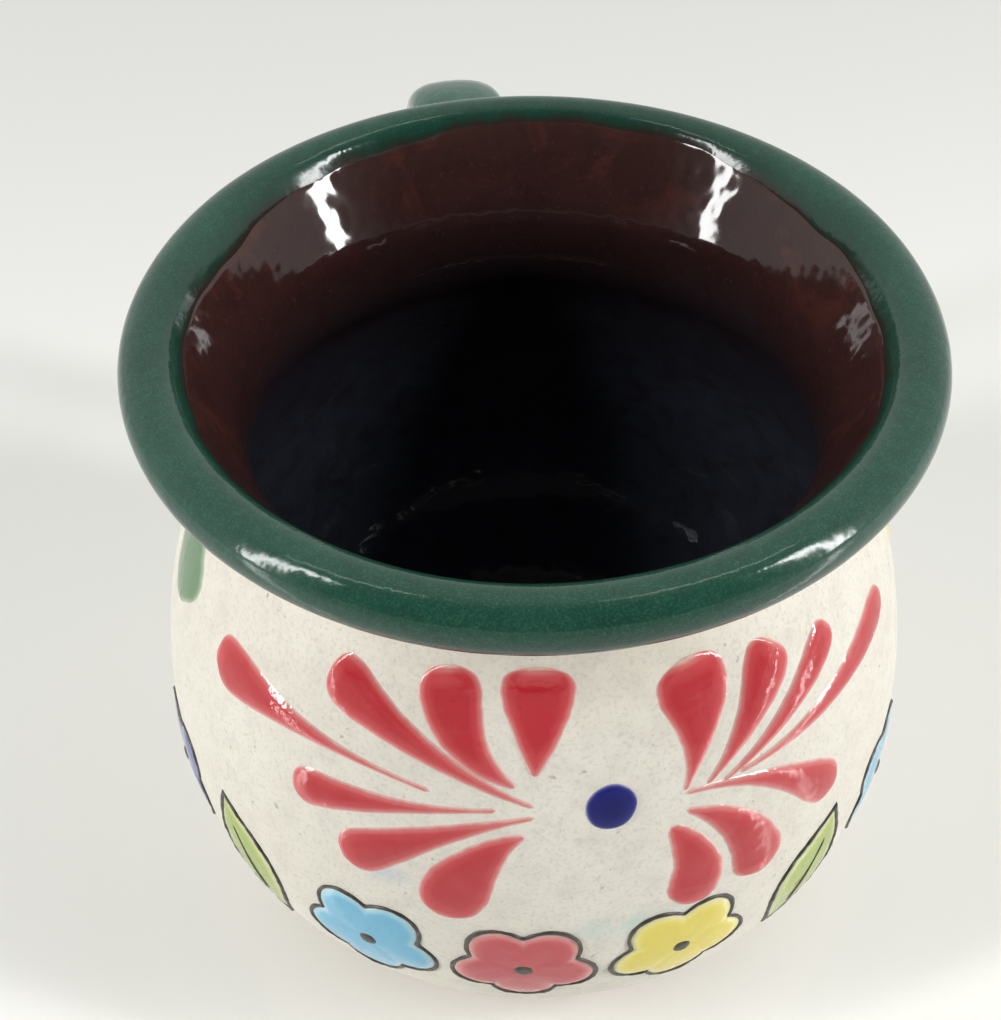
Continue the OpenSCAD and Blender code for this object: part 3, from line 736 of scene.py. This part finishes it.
def liner_material():
    """Brown glaze, smooth and rippled, with rusty patches near the lip. By height it holds painted
    light: lit rusty brown on the flare, painted shade at the throat, and a blue-black painted
    reflection of the room at the bottom.
    """
    n = Nodes("brown_glaze")
    up = n.math("ADD", n.height_z(), n.stray(n.noise(60, 4, 0.6), 0.010))
    level = n.math("DIVIDE", up, 0.1)
    # By height: painted bluish reflection at the bottom, painted shade at the throat, lit rusty
    # brown on the flare
    base = n.ramp(level, [(0.46, (0.050, 0.056, 0.078)), (0.60, (0.034, 0.035, 0.046)),
                          (0.71, (0.022, 0.015, 0.018)), (0.78, (0.028, 0.0120, 0.0120)),
                          (0.85, (0.038, 0.0145, 0.0130)), (0.91, (0.046, 0.0210, 0.0175))],
                  smooth=True)
    base = n.stain(base, n.noise(240, 4, 0.65, distortion=0.5), [(0.45, 0), (0.75, 0.5)],
                   (0.020, 0.0070, 0.0080))
    patches = n.grey(n.noise(115, 4, 0.65, distortion=0.8), [(0.54, 0), (0.70, 0.7)])
    rust = n.math("MULTIPLY", patches, n.grey(level, [(0.80, 0), (0.86, 1)]))
    base = n.mix(rust, base, (0.088, 0.026, 0.020))
    base = n.stain(base, n.noise(1800, 2, 0.6), [(0.62, 0), (0.74, 0.22)], (0.13, 0.06, 0.045))
    normal = n.bump(n.noise(600, 0, 0.0), 0.040)
    normal = n.bump(n.noise(210, 1, 0.4), 0.060, normal)
    normal = n.bump(n.noise(62, 1, 0.5, distortion=0.3), 0.30, normal)
    return n.finish(base, 0.065, normal)


def enamel_material(name, shades, soft=0.95, wave=0.11, specular=0.5):
    """Enamel that is pale where it thins out at its edge and deep where it pooled.

    soft is how far from the edge it is full, in mm, and wave the height of its ripple.
    """
    n = Nodes(name)
    edge, thin, mid, deep = shades
    patch = n.noise(230, 4, 0.6)
    drag = n.noise(620, 3, 0.6, distortion=0.4)
    inset = n.value("inset")
    pool = n.math("MULTIPLY", n.math("SUBTRACT", inset, 0.35), 0.55, clamp=True)
    pool = n.math("MULTIPLY", pool, n.math("ADD", n.value("body"), 0.25), clamp=True)
    pool = n.math("ADD", pool, n.stray(patch, 0.9), clamp=True)
    base = n.mix(pool, mid, deep)
    fade = n.math("ADD", n.math("DIVIDE", inset, soft), n.stray(drag, 0.35))
    base = n.mix(n.grey(fade, [(0.35, 0), (1.0, 1)], smooth=True), thin, base)
    base = n.mix(n.grey(fade, [(0.0, 0), (0.45, 1)], smooth=True), edge, base)
    rough = n.grey(patch, [(0.3, 0.05), (0.7, 0.11)])
    normal = n.bump(n.noise(1300, 2, 0.5), 0.012)
    normal = n.bump(n.noise(480, 3, 0.5), wave, normal)
    return n.finish(base, rough, normal, specular=specular)


def dark_line_material():
    n = Nodes("dark_line_enamel")
    base = n.ramp(n.noise(900, 3, 0.6), [(0.35, (0.030, 0.026, 0.022)),
                                         (0.62, (0.085, 0.070, 0.055)),
                                         (0.80, (0.26, 0.22, 0.18))])
    return n.finish(base, 0.40, n.bump(n.noise(900, 2, 0.5), 0.03))


def clay_material():
    n = Nodes("fired_clay")
    base = n.ramp(n.noise(60, 5, 0.6), [(0.3, (0.30, 0.13, 0.07)), (0.7, (0.45, 0.22, 0.125))])
    base = n.stain(base, n.noise(900, 3, 0.6), [(0.56, 0), (0.72, 0.5)], (0.56, 0.36, 0.24))
    return n.finish(base, 0.88, n.bump(n.noise(700, 4, 0.6), 0.06), specular=0.3)


# Green glazes: dark, middle, pale grain
LIP_GREENS = ((0.011, 0.056, 0.037), (0.019, 0.082, 0.054), (0.050, 0.148, 0.106))
HANDLE_GREENS = ((0.021, 0.096, 0.066), (0.038, 0.138, 0.098), (0.090, 0.220, 0.165))

# Enamels: edge, thin, middle, deep
RED = ((0.76, 0.52, 0.46), (0.640, 0.170, 0.165), (0.590, 0.066, 0.074), (0.480, 0.017, 0.027))
COBALT = ((0.30, 0.30, 0.42), (0.045, 0.050, 0.250), (0.016, 0.018, 0.165), (0.008, 0.009, 0.115))
LEAF_GREEN = ((0.60, 0.62, 0.50), (0.300, 0.410, 0.270), (0.150, 0.270, 0.130),
              (0.120, 0.230, 0.110))
STRAW = ((0.79, 0.76, 0.56), (0.80, 0.74, 0.38), (0.79, 0.70, 0.28), (0.75, 0.64, 0.22))
FILLS = {
    "blue": ((0.40, 0.42, 0.55), (0.160, 0.200, 0.480), (0.070, 0.090, 0.360),
             (0.045, 0.060, 0.290)),
    "lime": ((0.66, 0.68, 0.48), (0.560, 0.620, 0.260), (0.440, 0.520, 0.150),
             (0.360, 0.450, 0.100)),
    "sky": ((0.60, 0.72, 0.74), (0.350, 0.640, 0.760), (0.190, 0.520, 0.710),
            (0.140, 0.450, 0.660)),
    "red": ((0.72, 0.44, 0.40), (0.660, 0.240, 0.230), (0.600, 0.110, 0.120),
            (0.520, 0.055, 0.070)),
    "yellow": ((0.80, 0.76, 0.52), (0.830, 0.770, 0.300), (0.830, 0.730, 0.170),
               (0.780, 0.650, 0.090))}


# ---------------------------------------------------------------- the pieces
def dress(piece, material, slot, *nodes):
    piece.data.materials.append(material)
    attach(piece, "root")
    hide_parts(*nodes)


slip_start = float(run_out(SLIP_EDGE_Z))

dress(pot_clay(), clay_material(), "clay", "clay_body")
dress(coat("slip_skin", lambda a: slip_start + 0.35 * float(brushy(math.radians(a) * 4, 1.0)),
           lambda a: glaze_lower(a) + COAT_OVERLAP, -SLIP_SINK, -COAT_T, 96, 0.5, 0.5),
      slip_material(), "slip", "slip_coat")
dress(coat("lip_glaze_skin", glaze_lower, glaze_inner, 0.0, -COAT_T + 0.02, 84, 0.9, 2.2),
      green_material("green_glaze_lip", LIP_GREENS, edges=True), "green_glaze", "lip_glaze")
dress(coat("liner_skin", lambda a: glaze_inner(a) - COAT_OVERLAP, lambda a: run[-1],
           -LINER_SINK, -COAT_T, 110, 0.5, 0.5),
      liner_material(), "brown_glaze", "liner_glaze")
dress(handle_piece(), green_material("green_glaze_handle", HANDLE_GREENS),
      "green_glaze", "handle", "handle_glaze", "upper_lute", "lower_lute")

red = enamel_material("red_enamel", RED)
dress(stroke_set("red_flower_left", LEFT_STROKES, 1.0, RED_H), red,
      "red_enamel", "red_strokes_left")
dress(stroke_set("red_flower_right", RIGHT_STROKES, 20.0, RED_H), red,
      "red_enamel", "red_strokes_right")
dress(joined("cobalt_dot", [disc_mark(DOT_D / 2 * 0.99, FLOWER_A, FLOWER_Z - 0.5, DOT_H, 0.6)]),
      enamel_material("cobalt_enamel", COBALT, soft=0.5, specular=0.2),
      "cobalt_enamel", "blue_dot")
dress(stroke_set("green_stroke", [GREEN_STROKE], 40.0, GREEN_H),
      enamel_material("green_enamel", LEAF_GREEN, soft=1.4),
      "green_enamel", "green_side_stroke")
dress(stroke_set("yellow_stroke", [YELLOW_STROKE], 50.0, YELLOW_H),
      enamel_material("straw_enamel", STRAW, soft=0.8, wave=0.03),
      "straw_enamel", "yellow_side_stroke")
for colour, shades in FILLS.items():
    name = "leaf_fill_lime" if colour == "lime" else "blossom_fill_" + colour
    dress(border_fill(name, colour), enamel_material("border_" + colour, shades, soft=1.3),
          f"border_{colour}_enamel", "border_" + colour)

lines = []
for _, k in BLOSSOMS:
    inner, outer = blossom_rim(RIM_N, 0.0), blossom_rim(RIM_N, OUTLINE_W)
    lines.append(line_mark(inner, outer, k, LINE_H))
    lines.append(disc_mark(EYE_D / 2, turn_of(k), BORDER_Z, EYE_H, k))
for _, k, lean in LEAVES:
    inner, outer = leaf_rim(RIM_N, lean, 0.0), leaf_rim(RIM_N, lean, OUTLINE_W)
    lines.append(line_mark(inner, outer, k, LINE_H))
    lines.append(bar_mark(LEAF_L * 0.6, OUTLINE_W, lean, turn_of(k), RIB_H))
dress(joined("border_lines", lines), dark_line_material(), "dark_enamel", "border_outlines")


# ---------------------------------------------------------------- stage
# The floor's colour from far to near: painted light, lighter near the viewer
FLOOR_FAR, FLOOR_NEAR = (0.82, 0.825, 0.80), (0.975, 0.975, 0.935)
FLOOR_REACH, FLOOR_T, FLOOR_ROUGH = 3.0, 0.02, 0.13
LAMP_AIM = Vector((0, 0, 0.06))


def floor_material():
    """Pale floor, painted a little brighter towards the viewer: painted light that fades away from
    the front.
    """
    n = Nodes("pale_floor")
    y = n.new("ShaderNodeSeparateXYZ", Vector=n.place).outputs["Y"]
    away = n.math("ADD", n.math("MULTIPLY", y, 2.5), 0.35, clamp=True)
    return n.finish(n.ramp(away, [(0.0, FLOOR_NEAR), (1.0, FLOOR_FAR)], smooth=True), FLOOR_ROUGH)


def floor_piece():
    work = bmesh.new()
    bmesh.ops.create_cube(work, size=1.0)
    for v in work.verts:
        v.co = (2 * FLOOR_REACH * v.co.x, 2 * FLOOR_REACH * v.co.y, FLOOR_T * (v.co.z - 0.5))
    mesh = bpy.data.meshes.new("floor")
    work.to_mesh(mesh)
    work.free()
    piece = bpy.data.objects.new("floor", mesh)
    bpy.context.scene.collection.objects.link(piece)
    piece.data.materials.append(floor_material())


def lamp(name, turn, height, distance, wide, tall, watts):
    """A lamp that faces the mug: turn from the front and height in degrees, sizes in metres."""
    data = bpy.data.lights.new(name, "AREA")
    data.shape = "RECTANGLE"
    data.size = wide
    data.size_y = tall
    data.energy = watts
    piece = bpy.data.objects.new(name, data)
    bpy.context.scene.collection.objects.link(piece)
    a, e = math.radians(turn), math.radians(height)
    way = Vector((math.sin(a) * math.cos(e), -math.cos(a) * math.cos(e), math.sin(e)))
    piece.location = LAMP_AIM + way * distance
    piece.rotation_euler = (-way).to_track_quat("-Z", "Y").to_euler()
    return piece


floor_piece()
lamp("window_left", -77, 27, 0.9, 0.085, 0.86, 5.4)
lamp("window_right", 64, 26, 0.8, 0.068, 0.68, 4.7)
# Two long thin lamps overhead, one to each side, that hang nearly level
for name, x, wide in (("tube_left", -0.56, 0.62), ("tube_right", 0.50, 0.56)):
    tube = lamp(name, 180, 84, 1.3, wide, 0.02, 0.55)
    tube.location.x = x
    tube.rotation_euler = (math.radians(6), 0, 0)

# The room: bright at the sides, behind and along the horizon, dim above the viewer
ROOM_TINT = (1.0, 0.995, 0.975, 1)
DIM_WAY = Vector((-0.10, -0.80, 0.58)).normalized()
world = bpy.data.worlds.new("studio")
bpy.context.scene.world = world
world.use_nodes = True
tree = world.node_tree
sky = tree.nodes["Background"]
sky.inputs["Color"].default_value = ROOM_TINT
look = tree.nodes.new("ShaderNodeTexCoord").outputs["Generated"]


def room_level(fac, *stops):
    """A grey that eases from one level to another, by positions of fac."""
    node = tree.nodes.new("ShaderNodeValToRGB")
    node.color_ramp.interpolation = "EASE"
    for element, (position, level) in zip(node.color_ramp.elements, stops):
        element.position = position
        element.color = (level, level, level, 1)
    tree.links.new(fac, node.inputs["Fac"])
    return node.outputs["Color"]


facing = tree.nodes.new("ShaderNodeVectorMath")
facing.operation = "DOT_PRODUCT"
tree.links.new(look, facing.inputs[0])
facing.inputs[1].default_value = DIM_WAY
split = tree.nodes.new("ShaderNodeSeparateXYZ")
tree.links.new(look, split.inputs[0])
strength = tree.nodes.new("ShaderNodeMath")
strength.operation = "MAXIMUM"
room = room_level(facing.outputs["Value"], (0.22, 0.76), (0.80, 0.04))
horizon = room_level(split.outputs["Z"], (0.10, 0.62), (0.21, 0.0))
tree.links.new(room, strength.inputs[0])
tree.links.new(horizon, strength.inputs[1])
tree.links.new(strength.outputs[0], sky.inputs["Strength"])

# ---------------------------------------------------------------- camera
# Fitted to the photo's outline of the mug, then turned about it to where the handle shows
YAW, PITCH, ROLL = (math.radians(v) for v in (-1.616, 45.630, -1.166))
MUG_TURN = math.radians(-10.3)
CAMERA_AT = Vector((0, -0.13645, 0.20005))
FOCAL_PX, PHOTO_H_PX, SENSOR_MM = 1600, 1020, 36

forward = Vector((math.sin(YAW) * math.cos(PITCH), math.cos(YAW) * math.cos(PITCH),
                  -math.sin(PITCH)))
level_right = Vector((math.cos(YAW), -math.sin(YAW), 0))
level_up = level_right.cross(forward)
right = math.cos(ROLL) * level_right + math.sin(ROLL) * level_up
upward = -math.sin(ROLL) * level_right + math.cos(ROLL) * level_up
view = Matrix((right, upward, -forward)).transposed().to_4x4()
view.translation = CAMERA_AT
data = bpy.data.cameras.new("camera")
data.lens = FOCAL_PX / PHOTO_H_PX * SENSOR_MM
data.sensor_width = SENSOR_MM
data.clip_start = 0.01
camera = bpy.data.objects.new("camera", data)
bpy.context.scene.collection.objects.link(camera)
camera.matrix_world = Matrix.Rotation(MUG_TURN, 4, "Z") @ view
bpy.context.scene.camera = camera

bpy.context.scene.view_settings.view_transform = "Standard"
